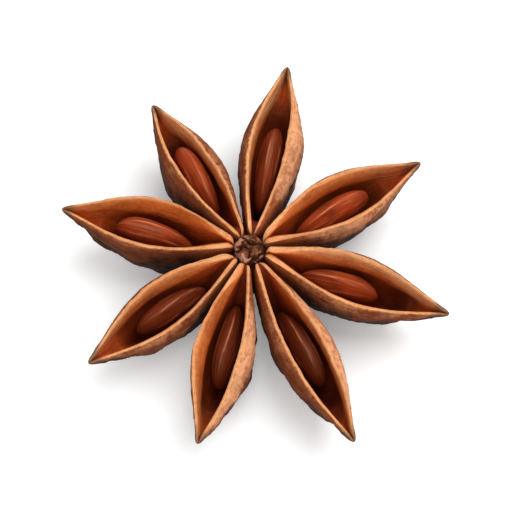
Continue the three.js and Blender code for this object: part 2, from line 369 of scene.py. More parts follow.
def sewn(g, mesh, u, v):
    """Closes the skin along its seam and at its two ends, and turns its faces outward."""
    past_seam = v.math("ABSOLUTE") * 1.001 - 1
    past_ends = (u - 0.5).math("ABSOLUTE") * 2.002 - 1
    edge = past_seam.at_least(past_ends).math("GREATER_THAN", 0)
    inputs = {"Geometry": mesh, "Selection": edge, "Distance": MERGE_DISTANCE}
    mesh = g.node("GeometryNodeMergeByDistance", None, inputs)
    return g.node("GeometryNodeFlipFaces", None, {"Mesh": mesh})


def moved(g, mesh, **how):
    """Sets the points' Position, or moves them by an Offset."""
    return g.node("GeometryNodeSetPosition", None, {"Geometry": mesh, **how})


def pushed(g, mesh, height):
    """Pushes the points outwards, along the skin's normal."""
    inputs = {0: g.node("GeometryNodeInputNormal"), "Scale": height}
    push = g.node("ShaderNodeVectorMath", {"operation": "SCALE"}, inputs)
    return moved(g, mesh, Offset=push)


print("points closer than", MERGE_DISTANCE, "mm are merged at the seams")

# %% Growing a tree into a plain mesh
def end_tree(g, mesh, material):
    """Scales millimetres to metres, sets the material and links the output."""
    metres = g.node("GeometryNodeTransform", None, {"Geometry": mesh, "Scale": (MM, MM, MM)})
    real = g.node("GeometryNodeRealizeInstances", None, {"Geometry": metres})
    painted = g.node("GeometryNodeSetMaterial", None, {"Geometry": real, "Material": material})
    g.node("NodeGroupOutput", None, {0: painted})


def grown(name, tree, values):
    """Evaluates a tree with the given inputs and returns the result as a plain object."""
    seedling = bpy.data.objects.new(name, bpy.data.meshes.new(name))
    bpy.context.collection.objects.link(seedling)
    modifier = seedling.modifiers.new("Growth", "NODES")
    modifier.node_group = tree
    sockets = [item for item in tree.interface.items_tree if item.in_out == "INPUT"]
    identifiers = {socket.name: socket.identifier for socket in sockets}
    for input_name, value in values.items():
        modifier[identifiers[input_name]] = float(value)
    evaluated = seedling.evaluated_get(bpy.context.evaluated_depsgraph_get())
    mesh = bpy.data.meshes.new_from_object(evaluated)
    seedling.modifiers.remove(modifier)
    seedling.data = mesh
    mesh.name = name
    return seedling


print("tree helpers ready, pieces are scaled by", MM)

# %% [markdown]
# ## Colours of the dried fruit
#
# Colours are easiest to choose as the eye reads them, in sRGB, but shaders mix light, which is linear. One
# small function converts each named colour once, by the sRGB standard's own numbers. Highlights on husk
# and seeds are warm, as on anything brown and oily, and share one tint.

# %% Colours
def tint(red, green, blue):
    """An sRGB colour from 0 to 255 as the linear colour that a shader takes."""
    parts = [part / 255 for part in (red, green, blue)]
    return (*[p / 12.92 if p <= 0.04045 else ((p + 0.055) / 1.055) ** 2.4 for p in parts], 1)


WARM_SHEEN = tint(255, 196, 160)
print("warm sheen, linear:", [round(part, 3) for part in WARM_SHEEN[:3]])

# %% [markdown]
# ## A material's helpers
#
# Procedural finishes read either the object's own coordinates, here counted in millimetres, or what the
# trees stored on the mesh: `way` runs from the keel (0) to the cavity's floor (1), `along` from the column
# to the beak, and `grain` is a place on the skin measured along and around the carpel. Noise drawn out
# along that grain gives streaks that follow every bend of the piece.

# %% Material helpers
class Finish(Graph):
    """A material's graph, with its Principled shader at hand."""

    def __init__(self, name, roughness=0.6):
        material = bpy.data.materials.new(name)
        material.use_nodes = True
        super().__init__(material.node_tree)
        self.material = material
        self.shader = self.tree.nodes["Principled BSDF"]
        self.fix("Roughness", roughness)
        place = self.node("ShaderNodeTexCoord", out="Object")
        self.mm = self.node("ShaderNodeVectorMath", {"operation": "SCALE"}, {0: place, "Scale": 1 / MM})

    def fix(self, name, value):
        """Sets a value that is the same all over the piece."""
        self.shader.inputs[name].default_value = value

    def feed(self, name, wire):
        """Links a value that changes over the piece."""
        self.tree.links.new(wire.socket, self.shader.inputs[name])

    def bump(self, height_mm):
        inputs = {"Height": height_mm * MM, "Distance": 1.0}
        self.feed("Normal", self.node("ShaderNodeBump", None, inputs))

    def stored(self, name, out="Fac"):
        """Reads a value that a tree stored on the mesh."""
        return self.node("ShaderNodeAttribute", {"attribute_name": name}, out=out)

    def colours(self, first, second, share):
        """A colour between two: the first where share is 0, the second where it is 1."""
        inputs = {"Factor": share, 6: first, 7: second}
        return self.node("ShaderNodeMix", {"data_type": "RGBA"}, inputs, out=2)

    def uneven(self, value, *disturbances):
        """A value made uneven by noises, each given with its strength."""
        for noises, strength in disturbances:
            value = value + (noises - 0.5) * strength
        return value


print("finish helpers ready")

# %% [markdown]
# ## What the husk's finish reads
#
# The husk is one piece with several skins: dull bark outside, smooth lips, a red-brown hollow, a crumbly
# cap. A painted texture would need unwrapping first and would blur close up. Here each skin is a mixture
# of noises instead, and the stored values say where one ends and the next begins. All of them share five
# noises: blotches and grit are round, ribs run across the carpel, and streaks and fibres run along it.
# Disturbing a zone's edge with them keeps it from looking drawn with a ruler.

# %% What the husk's finish reads
BLOTCH_SCALE, GRIT_SCALE = 0.45, 2.6  # blobs in a millimetre
RIB_STRETCH, STREAK_STRETCH, FIBRE_STRETCH = (2.1, 0.3, 0.3), (0.25, 2.2, 2.2), (0.6, 5, 5)


class HuskSkin:
    """The values stored on the husk, and the noises that its skins share."""

    def __init__(self, f):
        self.way, self.along, self.cap, self.crack = map(f.stored, ("way", "along", "cap", "crack"))
        self.worn, self.pale, self.pocket_shade = map(f.stored, ("worn", "pale", "pocket_shade"))
        self.raised = f.smooth(f.stored("relief"), -0.12, 0.14)
        grain = f.stored("grain", out="Vector")
        self.blotches = f.speckle(f.mm, BLOTCH_SCALE, 4, 0.6)
        self.grit = f.speckle(f.mm, GRIT_SCALE, 4, 0.65)
        self.ribs = f.speckle(grain, 1.0, 3, 0.6, RIB_STRETCH)
        self.streaks = f.speckle(grain, 1.0, 3, 0.6, STREAK_STRETCH)
        self.fibres = f.speckle(grain, 1.0, 2, 0.6, FIBRE_STRETCH)
        self.near_column = 1 - f.smooth(self.along, 0.14, 0.32)
        narrows = f.smooth(self.along, 0.62, 0.86) * 0.12
        self.depth = f.uneven(self.way - narrows, (self.streaks, 0.07), (self.blotches, 0.09))


print("blotches are about", round(1 / BLOTCH_SCALE, 1), "mm wide, grit", round(1 / GRIT_SCALE, 1), "mm")

# %% [markdown]
# ## Bark
#
# The outside is painted nearly black in the low spots of its relief and towards the keel, as shade, brown
# on the raised backs and lighter up the flank. Where the carpels have rubbed on each other, the dark skin
# has gone and pale orange wood shows, and the same pale colour is laid on the sides that face the lamp, as
# painted light. The relief that the tree pushes into the mesh is stored too, so the colour knows which
# spots
# are raised: dust and wear gather there, and painted shade stays in the pits.

# %% Bark
BARK, BARK_DARK, BARK_PALE = tint(122, 60, 32), tint(46, 20, 13), tint(200, 126, 80)
BARK_MIDDLE, BARK_GREY, BARK_INNER = tint(84, 42, 26), tint(108, 72, 52), tint(168, 88, 46)
BARK_WORN_AND_LIT = tint(252, 184, 136)


def bark_colour(f, on):
    wear_and_light = on.worn * f.smooth(on.along, 0.12, 0.4)
    height = f.uneven(on.way, (on.streaks, 0.12), (on.blotches, 0.16), (on.raised, 0.07))
    mottled = f.smooth(on.grit * 0.3 + on.ribs * 0.2 + on.streaks * 0.2 + on.fibres * 0.3, 0.44, 0.56)
    # Painted shade: the low spots of the relief, and below them the bark towards the keel, are nearly
    # black.
    bark = f.colours(BARK_DARK, BARK_MIDDLE, on.raised * f.smooth(mottled + on.raised, 0.5, 1.6))
    bark = f.colours(bark, BARK, f.smooth(height + (wear_and_light - 0.4) * 0.05, 0.35, 0.47))
    # Pale rubbed wood, and painted light on the sides that face the lamp, both come from the wear mask.
    scuffs = f.smooth(height + wear_and_light * 0.09, 0.46, 0.58) * f.blend(mottled, 1, wear_and_light * 0.6)
    bark = f.colours(bark, f.colours(BARK_PALE, BARK_WORN_AND_LIT, wear_and_light * 0.8), scuffs)
    dust = f.smooth(on.blotches * 0.5 + on.grit * 0.5, 0.52, 0.66) * (1 - f.smooth(on.way, 0.4, 0.48))
    bark = f.colours(bark, BARK_GREY, dust * on.raised * 0.45)
    pits = f.smooth(on.fibres * 0.45 + on.blotches * 0.25 + on.grit * 0.3, 0.5, 0.62)
    bark = f.colours(bark, BARK_DARK, pits * (0.8 - wear_and_light * 0.45))
    return f.colours(bark, BARK_INNER, on.near_column * f.smooth(height, 0.26, 0.4) * 0.85)


print("bark, linear:", [round(part, 3) for part in BARK[:3]])

# %% [markdown]
# ## Lips and hollow
#
# The lip is the edge of the seam along which the carpel split. It is smooth and orange-brown, with stains
# where sap has dried. A thin pale line along its outer edge and its pale upper part are painted highlight,
# and painted shade darkens it further down. The hollow behind it is red-brown, painted darker as shade
# towards its floor and towards the column. Near the beak it turns pale again.

# %% Lips and hollow
LIP_CREST_HIGHLIGHT, LIP_PALE, LIP = tint(238, 174, 122), tint(228, 140, 80), tint(214, 112, 50)
LIP_DEEP_SHADE, LIP_STAIN = tint(186, 80, 32), tint(88, 34, 14)
HOLLOW, HOLLOW_DEEP_SHADE, HOLLOW_INNER_SHADE = tint(164, 66, 28), tint(112, 40, 16), tint(106, 40, 17)
BARK_TO_LIP = 0.493, 0.508  # on the way round


def lip_colour(f, on):
    # Painted light and shade: pale near the crest, then darker down the lip towards the hollow.
    lip = f.colours(LIP_PALE, LIP, f.smooth(on.depth, 0.56, 0.64))
    lip = f.colours(lip, LIP_DEEP_SHADE, f.smooth(on.depth, 0.66, 0.82))
    # Painted highlight on the upper part of the lip, as strong as its pale value.
    lip = f.colours(lip, LIP_CREST_HIGHLIGHT, on.pale * (1 - f.smooth(on.depth, 0.58, 0.76)) * 0.8)
    stains = f.smooth(on.fibres * 0.35 + on.streaks * 0.3 + on.blotches * 0.35, 0.48, 0.64)
    lip = f.colours(lip, LIP_STAIN, stains * (0.6 - on.pale * 0.3))
    # Painted highlight: a thin pale line along the crest.
    edge_end = f.uneven(on.way - on.near_column * 0.14, (on.streaks, 0.08), (on.grit, 0.03))
    edge = f.smooth(on.way, *BARK_TO_LIP) * (1 - f.smooth(edge_end, 0.535, 0.59))
    return f.colours(lip, LIP_CREST_HIGHLIGHT, edge * f.smooth(on.blotches * 0.4 + on.fibres * 0.6, 0.3, 0.6))


def hollow_colour(f, on):
    # Painted shade: darker towards the hollow's floor, and towards the column where it narrows.
    hollow = f.colours(HOLLOW, HOLLOW_DEEP_SHADE, f.smooth(on.depth, 0.88, 0.97))
    hollow = f.colours(hollow, HOLLOW_INNER_SHADE, 1 - f.smooth(on.along, 0.2, 0.36))
    near_beak = f.smooth(f.uneven(on.along, (on.blotches, 0.1)), 0.84, 0.94)
    return f.colours(hollow, LIP_PALE, near_beak * 0.7)


print("lip, linear:", [round(part, 3) for part in LIP[:3]])

# %% [markdown]
# ## The column's cap
#
# The cap is drier and greyer than the carpels, with tan crumbs on a raised rim. The groove round it, the
# column below it and the cracks between its lumps are painted nearly black, as shade. The column's mesh
# stores where its cap and cracks are.

# %% The column's cap
CAP, CAP_DARK, CAP_RIM_TAN = tint(150, 96, 68), tint(84, 46, 28), tint(206, 150, 124)
GROOVE_SHADE = tint(64, 28, 14)
CRUMB_SCALE, RIM_SPOT_SCALE = 1.3, 0.9


def column_colour(f, on):
    crumbs = f.smooth(f.speckle(f.mm, CRUMB_SCALE, 3, 0.6), 0.4, 0.6)
    rim_spots = f.smooth(f.speckle(f.mm, RIM_SPOT_SCALE, 2), 0.42, 0.62)
    column = f.colours(CAP_DARK, CAP, crumbs * 0.8)
    column = f.colours(column, CAP_RIM_TAN, f.smooth(on.cap, 0.84, 0.98) * rim_spots * 0.8)
    # Painted shade: the cracks, and below them the groove and the column under the cap, are nearly black.
    column = f.colours(column, GROOVE_SHADE, f.smooth(f.uneven(on.crack, (on.grit, 0.4)), 0.1, 0.55))
    return f.colours(GROOVE_SHADE, column, f.smooth(on.cap, 0.6, 0.78))


print("cap, linear:", [round(part, 3) for part in CAP[:3]])

# %% [markdown]
# ## The husk's finish
#
# The skins are laid over each other from the bark inwards, then the pocket beyond the seed, painted dark as
# shade, the grey-brown beak and the cap. Last, specks darken everything a little, as grime does. The lips
# are smoother than the bark, so roughness and bump follow the same zones. Dry bark hardly shines, so the
# specular level is low.

# %% The husk's finish
BEAK, POCKET_SHADE = tint(84, 66, 56), tint(78, 29, 12)
SHADE = (0.62, 0.5, 0.42)  # what the darkest specks leave of the colour round them
LIP_TO_HOLLOW = 0.8, 0.92  # in depth
BARK_ROUGHNESS, LIP_ROUGHNESS, HOLLOW_ROUGHNESS = 0.85, 0.38, 0.7


def husk_colour(f, on):
    past_bark = f.smooth(f.uneven(on.way, (on.grit, 0.02)), *BARK_TO_LIP)
    skin = f.colours(bark_colour(f, on), lip_colour(f, on), past_bark)
    skin = f.colours(skin, hollow_colour(f, on), f.smooth(on.depth, *LIP_TO_HOLLOW))
    # Painted shade: the wall of the pocket beyond the seed is darkened, by each carpel's own amount.
    before_beak = 1 - f.smooth(f.uneven(on.along, (on.blotches, 0.1)), 0.8, 0.91)
    pocket_wall = f.smooth(f.uneven(on.way, (on.streaks, 0.08)), 0.7, 0.83)
    pocket = f.smooth(on.along, 0.6, 0.74) * before_beak * pocket_wall
    skin = f.colours(skin, POCKET_SHADE, pocket * on.pocket_shade)
    tip = f.smooth(f.uneven(on.along, (on.blotches, 0.08)), 0.9, 0.97)
    outside = 1 - f.smooth(on.way, 0.5, 0.54)
    skin = f.colours(skin, BEAK, tip * (outside * 0.25 + 0.65))
    skin = f.colours(skin, column_colour(f, on), f.smooth(on.cap, 0.1, 0.4))
    specks = 1 - f.smooth(on.grit * 0.5 + on.fibres * 0.5, 0.35, 0.65)
    return f.colours(skin, f.vector_math("MULTIPLY", skin, SHADE), specks * 0.8)


def husk_finish():
    f = Finish("dried husk")
    f.fix("Specular IOR Level", 0.2)
    f.fix("Specular Tint", WARM_SHEEN)
    on = HuskSkin(f)
    f.feed("Base Color", husk_colour(f, on))
    inside = f.smooth(on.way, 0.5, 0.56) * (1 - on.cap)
    inner_roughness = f.blend(LIP_ROUGHNESS, HOLLOW_ROUGHNESS, f.smooth(on.way, 0.7, 0.85))
    f.feed("Roughness", f.uneven(f.blend(BARK_ROUGHNESS, inner_roughness, inside), (on.grit, 0.12)))
    bark_bump = on.grit * 0.07 + on.ribs * 0.05 + on.streaks * 0.06 + on.fibres * 0.06
    lip_bump = on.streaks * 0.03 + on.fibres * 0.03 + on.grit * 0.01
    f.bump(f.blend(bark_bump, lip_bump, inside))
    return f.material


husk_skin = husk_finish()
print("nodes in the husk's finish:", len(husk_skin.node_tree.nodes))

# %% [markdown]
# ## The seeds' finish
#
# A star anise seed looks varnished: a hard red-brown coat, streaked along its length. Pale lines along its
# ridge and the crests of its flutes are painted highlight, and its flanks are painted dark as shade where
# they dip below the lips. Some are much darker than others. The coat is the surface itself, so a low
# roughness with a warm highlight gives its gloss, and no clear coat is needed.

# %% The seeds' finish
SEED_COAT, SEED_DARK, SEED_PALE = tint(158, 62, 28), tint(58, 22, 12), tint(226, 126, 80)
CLOUD_SCALE = 0.5  # clouds in a millimetre
SEED_STREAK_STRETCH, SEED_FIBRE_STRETCH = (0.2, 2.2, 2.2), (0.5, 6, 6)


def seed_finish():
    f = Finish("seed coat", roughness=0.4)
    f.fix("Specular IOR Level", 0.42)
    f.fix("Specular Tint", WARM_SHEEN)
    grain, darkness = f.stored("grain", out="Vector"), f.stored("darkness")
    streaks = f.speckle(grain, 1.0, 3, 0.6, SEED_STREAK_STRETCH)
    fibres = f.speckle(grain, 1.0, 2, 0.6, SEED_FIBRE_STRETCH)
    clouds = f.speckle(f.mm, CLOUD_SCALE, 2)
    coat = f.colours(SEED_COAT, SEED_DARK, f.smooth(streaks * 0.5 + clouds * 0.5, 0.42, 0.72) * 0.8)
    coat = f.colours(coat, SEED_PALE, f.smooth(fibres * 0.3 + streaks * 0.7, 0.48, 0.66) * 0.4)
    coat = f.colours(coat, SEED_DARK, darkness * 0.85)
    # Painted shade on the seed's flanks, where they dip below the lips.
    flank = 1 - f.smooth(f.stored("top"), 0.1, 0.75)
    coat = f.colours(coat, SEED_DARK, flank * 0.75)
    # Painted highlight: pale lines along the ridge and the crests of the flutes.
    ridge = f.smooth(f.stored("crest"), 0.6, 0.95) * f.smooth(clouds * 0.7 + fibres * 0.3, 0.4, 0.6)
    f.feed("Base Color", f.colours(coat, SEED_PALE, ridge * (0.75 - darkness * 0.35)))
    f.feed("Roughness", 0.16 + streaks * 0.2)
    f.bump(streaks * 0.08 + fibres * 0.05)
    return f.material


seed_skin = seed_finish()
print("nodes in the seeds' finish:", len(seed_skin.node_tree.nodes))

# %% [markdown]
# ## The carpel's cross-section
#
# Going round a carpel's cross-section one meets the keel, climbs the bulging flank to the lip's crest,
# steps over the smooth lip and goes down into the cavity. One number, `way`, counts that: 0 at the keel,
# 1 at the cavity's floor. It runs the same on both sides, and `side` is -1 behind and 1 ahead. A slow wave
# makes the ridge wander in and out, and coarse folds wrinkle the flank and the keel as the wood dries.

# %% The carpel's cross-section
FLANK_SHARE, CREST_SHARE, LIP_SHARE = 0.5, 0.56, 0.76  # where flank, crest and lip end on the way round
FLANK_POWER, FLANK_ROOT, SHOULDER, SHOULDER_POWER = 2.3, 0.6, 0.32, 0.5
CREST_WIDTH, CREST_HEIGHT = 0.24, 0.05
LIP_POWER, LIP_SHRINK, NARROWEST_SLIT = 1.7, 2.5, 0.06
WALL, WALL_POWER, WALL_ROOT = 1.15, 0.8, 0.5
RIM_WAVE_SCALE, RIM_WAVE_ACROSS, RIM_WAVE_UP = 0.42, 0.16, 0.3


def by_side(g, behind, ahead, side):
    """The size of whichever side of the carpel this is."""
    return g.blend(behind, ahead, side * 0.5 + 0.5)


def section(g, c, s, way, side):
    """Half the breadth, the height, and how far outside a point of the cross-section is."""
    rim_place = g.vector(s["x"] * c["length"], c["number"] * 10 + side * 3, 0)
    rim_wave = g.speckle(rim_place, RIM_WAVE_SCALE, 4, 0.7) - 0.5
    rim_fade = g.between(way, 0.25, FLANK_SHARE, LIP_SHARE, 0.95)
    gape = by_side(g, s["behind"], s["ahead"], side) + rim_wave * RIM_WAVE_ACROSS * rim_fade
    ridge = s["half"] * gape
    mouth = (ridge - s["lip"] * (gape / END_GAPE) ** LIP_SHRINK).at_least(NARROWEST_SLIT)
    crest_end = (ridge - CREST_WIDTH).at_least(mouth)
    outer = ((way / FLANK_SHARE).at_most(1) * QUARTER_TURN).cos().at_least(0)
    shoulder = g.blend(gape, 1, ((outer / SHOULDER).at_most(1) * QUARTER_TURN).sin() ** SHOULDER_POWER)
    flank = s["half"] * shoulder * (1 - outer**FLANK_POWER).at_least(0) ** FLANK_ROOT
    over_crest = ((way - FLANK_SHARE) / (CREST_SHARE - FLANK_SHARE)).clamped()
    over_lip = ((way - CREST_SHARE) / (LIP_SHARE - CREST_SHARE)).clamped()
    down = (((way - LIP_SHARE) / (1 - LIP_SHARE)).clamped() * QUARTER_TURN).sin()
    belly = ((s["half"] - WALL).at_least(mouth) - mouth) * (down**WALL_POWER * math.pi).sin()
    wall = (mouth + belly) * (1 - down ** s["floor power"]).at_least(0) ** WALL_ROOT
    across = flank + (crest_end - ridge) * over_crest + (mouth - crest_end) * over_lip + (wall - mouth)
    z = s["top"] - s["depth"] * outer - s["lip drop"] * over_lip**LIP_POWER - s["cavity"] * down
    z = z + (over_crest * math.pi).sin() * CREST_HEIGHT + rim_wave.sin() * RIM_WAVE_UP * rim_fade
    return across, z, outer


print("the lip takes", round(LIP_SHARE - CREST_SHARE, 2), "of the way round")

# %% Folds and ends of a carpel
WRINKLE, LENGTHWISE, SLANTING, KNOBS = 0.24, 23, 11, 37  # the last three in radians from end to end
BEAK_ROUND_FROM = 0.965
INNER_START, INNER_END_ROUND, INNER_END_UNEVEN = 1.5, 0.75, 0.35
NEIGHBOUR_GAP, SOFT_CORNER = 0.09, 8


def folds(g, c, x, outer, side):
    """The coarse folds of the dried husk: along the flank, slanting, and knobs on the keel."""
    along = (x * LENGTHWISE + outer * side * 5 + c["number"] * 2.1).sin()
    slanting = (outer * 9 - x * SLANTING + c["number"] * 1.3 + side).sin()
    knobs = (x * KNOBS + c["number"] * 3.7).sin() * outer
    fade = g.smooth(outer, 0.12, 0.5) * (1 - g.smooth(x, 0.85, 1))
    return (along * 0.5 + slanting * 0.4 + knobs * 0.6) * WRINKLE * fade


def squeezed(g, c, x, across, side):
    """Keeps half the breadth within the room that the neighbour on that side leaves."""
    angle = by_side(g, c["room behind"], c["room ahead"], side) * DEGREE
    room = x * c["length"] * angle.sin() - NEIGHBOUR_GAP
    return across * room / (across**SOFT_CORNER + room**SOFT_CORNER) ** (1 / SOFT_CORNER)


def rounded_ends(g, c, x, start, way, side):
    """What is left of the cross-section: all of it, until the beak and the inner end round it off."""
    beak_end = ((x - BEAK_ROUND_FROM) / (1 - BEAK_ROUND_FROM)).clamped()
    uneven = (c["number"] * 2.3 + side * 1.1).sin() * (1 - g.smooth(way, LIP_SHARE, 0.95))
    inner_end = 1 - ((x - start) * c["length"] / (uneven * INNER_END_UNEVEN + INNER_END_ROUND)).at_most(1)
    return ((1 - beak_end**2) * (1 - inner_end**2)).at_least(0) ** 0.5


print("carpels are squeezed to", NEIGHBOUR_GAP, "mm inside their room before they fold")

# %% [markdown]
# ## The bark's relief
#
# Dried bark is lumpy, ribbed across and pleated along, most of all at the keel. This relief is pushed into
# the mesh and not only painted as a bump, because it breaks up the outline and throws small shadows. The
# hollow gets fine streaks only. A point is pushed along the skin's normal, which Geometry Nodes give once
# the skin is sewn, and the height is stored for the finish to read.

# %% The bark's relief
def bark_relief(g, mesh):
    """Lumps, ribs, pleats and crumbs of the bark outside, fine streaks in the hollow."""
    way, x, grain = kept(g, "way"), kept(g, "along"), kept(g, "grain", "FLOAT_VECTOR")
    place = g.node("GeometryNodeInputPosition")
    to_keel = 1 - g.smooth(way, 0.05, 0.4)
    lumps = (g.speckle(place, 0.5, 4, 0.6) - 0.5) * (0.35 + to_keel * 0.5)
    ribs = (g.speckle(grain, 1.0, 3, stretch=(1.6, 0.4, 0.4)) - 0.5) * 0.16
    pleats = (g.speckle(grain, 1.0, 3, stretch=(0.3, 1.3, 1.3)) - 0.5) * (0.26 + to_keel * 0.2)
    streaks = (g.speckle(grain, 1.0, 2, stretch=(0.3, 1.6, 1.6)) - 0.5) * 0.08
    crumbs = (g.speckle(place, 1.5, 2) - 0.5) * (0.16 + to_keel * 0.16)
    ends = g.between(x, 0.1, 0.2, 0.9, 1)
    outside = 1 - g.smooth(way, 0.42, 0.5)
    inside = g.smooth(way, 0.58, 0.66)
    relief = (lumps + ribs + pleats + crumbs) * outside
    mesh = keep(g, mesh, "relief", relief)
    return pushed(g, mesh, (relief + streaks * inside) * ends)


print("bark relief ready")

# %% [markdown]
# ## The carpel's tree
#
# Geometry Nodes suit this piece because all eight carpels follow the same rule with other sizes: the tree
# is built once and grown eight times. Its rows of points stand closer at the beak and at the column, where
# the shape turns fastest. Each cross-section is squeezed between its neighbours, wrinkled, rounded off at
# the two ends, and then placed round the column.

# %% The carpel's tree
STATIONS, WAY_ROUND = 108, 105
GRAIN_RADIUS = 4.5  # as if the way round the carpel were 28 mm long


def carpel_tree(material):
    names = ("number", *CARPEL_NAMES, *WEAR_AND_PAINTED_LIGHT_NAMES, "room ahead", "room behind")
    g, c = new_tree("Carpel", names)
    mesh, u, v = grid(g, STATIONS, WAY_ROUND)
    side, way = v.math("SIGN"), v.math("ABSOLUTE")
    start = INNER_START / c["length"]
    x = start + (1 - start) * g.blend(u, 0.5 - (u * math.pi).cos() * 0.5, 0.4)
    s = station(g, c, x)
    across, z, outer = section(g, c, s, way, side)
    across = squeezed(g, c, x, across, side) * side
    pivot = s["top"] - s["depth"] * PIVOT_SHARE
    up = z - pivot
    swell = 1 + folds(g, c, x, outer, side) / (across**2 + up**2 + 0.25) ** 0.5
    scale = swell * rounded_ends(g, c, x, start, way, side)
    mesh = moved(g, mesh, Position=placed(g, c, s, across * scale, pivot + up * scale))

    grain = grain_place(g, x * c["length"], v, GRAIN_RADIUS, c["number"])
    mesh = keep(g, mesh, "way", way)
    mesh = keep(g, mesh, "along", x)
    # Wear with painted light on the sides facing the lamp, painted shade in the pocket, painted lip
    # highlight.
    mesh = keep(g, mesh, "worn", by_side(g, c["worn behind"], c["worn ahead"], side))
    mesh = keep(g, mesh, "pocket_shade", c["pocket_shade"])
    mesh = keep(g, mesh, "pale", by_side(g, c["pale behind"], c["pale ahead"], side))
    mesh = keep(g, mesh, "grain", grain, "FLOAT_VECTOR")
    end_tree(g, bark_relief(g, sewn(g, mesh, u, v)), material)
    return g.tree


carpel_growth = carpel_tree(husk_skin)
print("nodes in the carpel's tree:", len(carpel_growth.nodes))

# %% [markdown]
# ## Eight carpels from one tree
#
# Each carpel is grown with its own row of sizes, and with the room that its two neighbours leave it: half
# the angle to the next one on either side. What comes out are plain meshes without a modifier.

# %% Grow the eight carpels
def room_between(first, second):
    """Half the angle between two carpels."""
    azimuths = [CARPELS[number % len(CARPELS)][0] for number in (first, second)]
    apart = abs(azimuths[0] - azimuths[1])
    return min(apart, 360 - apart) / 2


def grown_carpel(number):
    values = dict(zip(CARPEL_NAMES + WEAR_AND_PAINTED_LIGHT_NAMES, CARPELS[number] + WEAR_AND_PAINTED_LIGHT[number]), number=number)
    values["room ahead"] = room_between(number, number + 1)
    values["room behind"] = room_between(number, number - 1)
    return grown(f"carpel_{number + 1}", carpel_growth, values)


carpels = [grown_carpel(number) for number in range(len(CARPELS))]
print("triangles in a carpel:", sum(len(face.vertices) - 2 for face in carpels[0].data.polygons))

# %% [markdown]
# ## The column
#
# The eight carpels meet at a short column. Its cap is a crumbly disc with a raised rim, lumps with cracks
# between them and a dimple, and its foot is the scar where the stalk broke off. A turned shape like this is
# quickest as rings of points round an axis, which noise then roughens. Where the noise of the lumps passes
# through zero, its absolute value has a sharp valley: that is a crack, and it is stored for the finish.

# %% The column's profile
COLUMN_FOOT = [(0.5, 0.65), (1.1, 0.42), (1.4, 0.5), (1.9, 1.2), (2.5, 3.5), (2.3, 6.2)]
GROOVE = [(1.9, 6.6), (1.6, 6.7), (1.45, 6.9)]
CAP_RIM = [(1.4, 7.25), (1.4, 7.5), (1.38, 7.7), (1.32, 7.84), (1.22, 7.96), (1.1, 8.02), (1, 7.98)]
CAP_DIMPLE = [(0.9, 7.84), (0.78, 7.7), (0.64, 7.62), (0.5, 7.56), (0.36, 7.56), (0.22, 7.58), (0.1, 7.6)]
SCAR_BELOW, CAP_ABOVE = 1, 7.2  # heights
SPOKE_RADIUS, SPOKES_FROM, LUMPS_FROM = 2.2, Vector((5, 2, 7)), Vector((3.2, 1, 4))
LUMP_TOP, LUMP_LEVEL, LUMP_HEIGHT, CRACK_WIDTH = 0.3, 0.16, 2, 0.14


def crumpled(radius, z, turn):
    """Where a point of the column lies once it has crumpled, and how cracked it is, from 0 to 1."""
    spoke = Vector((math.cos(turn), math.sin(turn), 0)) * SPOKE_RADIUS
    place = Vector((radius * math.cos(turn), radius * math.sin(turn), z))
    crumble = noise.noise(spoke) * 0.36 + noise.noise(place * 3.4) * 0.15
    reach = 1 + crumble / max(radius, 0.8)
    spokes = noise.noise(spoke * 1.6 + SPOKES_FROM) * 0.4 * min(radius, 1)
    lump = abs(noise.noise(place * 0.95 + LUMPS_FROM))
    lumps = (min(lump, LUMP_TOP) - LUMP_LEVEL) * LUMP_HEIGHT
    wrinkled = spokes * 0.5 + noise.noise(place * 2.6) * 0.14 + lumps
    lift = wrinkled if z > CAP_ABOVE or z < SCAR_BELOW else 0
    return (place.x * reach, place.y * reach, z + lift), 1 - min(lump / CRACK_WIDTH, 1)


print("rings of the column:", len(COLUMN_FOOT + GROOVE + CAP_RIM + CAP_DIMPLE))

# %% The column
COLUMN_STEPS = 96
FOOT_Z, DIMPLE_Z, DIMPLE_RADIUS = 0.8, 7.6, 0.9
ON_RIM, IN_DIMPLE, BELOW_CAP = 1.0, 0.8, 0.5  # what the finish reads as the cap


def column_mesh():
    mesh = bmesh.new()
    cap = mesh.verts.layers.float.new("cap")
    crack = mesh.verts.layers.float.new("crack")
    rings = []
    for radius, z in COLUMN_FOOT + GROOVE + CAP_RIM + CAP_DIMPLE:
        mark = BELOW_CAP if z <= CAP_ABOVE else ON_RIM if radius > DIMPLE_RADIUS else IN_DIMPLE
        rings.append([])
        for step in range(COLUMN_STEPS):
            place, cracked = crumpled(radius, z, 2 * math.pi * step / COLUMN_STEPS)
            corner = mesh.verts.new(place)
            corner[cap], corner[crack] = mark, cracked
            rings[-1].append(corner)
    for lower, upper in zip(rings, rings[1:]):
        for step in range(COLUMN_STEPS):
            after = (step + 1) % COLUMN_STEPS
            mesh.faces.new((lower[step], lower[after], upper[after], upper[step]))
    for ring, z, order in ((rings[0], FOOT_Z, -1), (rings[-1], DIMPLE_Z, 1)):
        middle = mesh.verts.new((0, 0, z))
        middle[cap] = IN_DIMPLE
        for step in range(COLUMN_STEPS):
            corners = (ring[step], ring[(step + 1) % COLUMN_STEPS], middle)
            mesh.faces.new(corners[::order])
    mesh.transform(Matrix.Scale(MM, 4))
    data = bpy.data.meshes.new("column")
    mesh.to_mesh(data)
    mesh.free()
    data.materials.append(husk_skin)
    return data


column = bpy.data.objects.new("column", column_mesh())
bpy.context.collection.objects.link(column)
print("column faces:", len(column.data.polygons))

# %% [markdown]
# ## One woody husk
#
# The carpels have grown together with the column, so the nine shells become one skin by a Boolean union.
# The Manifold solver is quick and leaves a closed skin, as long as every shell that goes in is closed.
# Remeshing would join them too, but it would blur the lips. A union leaves some faces thinner than a hair
# and some with a dozen corners, which shade badly, so the first are closed and the others fanned out.

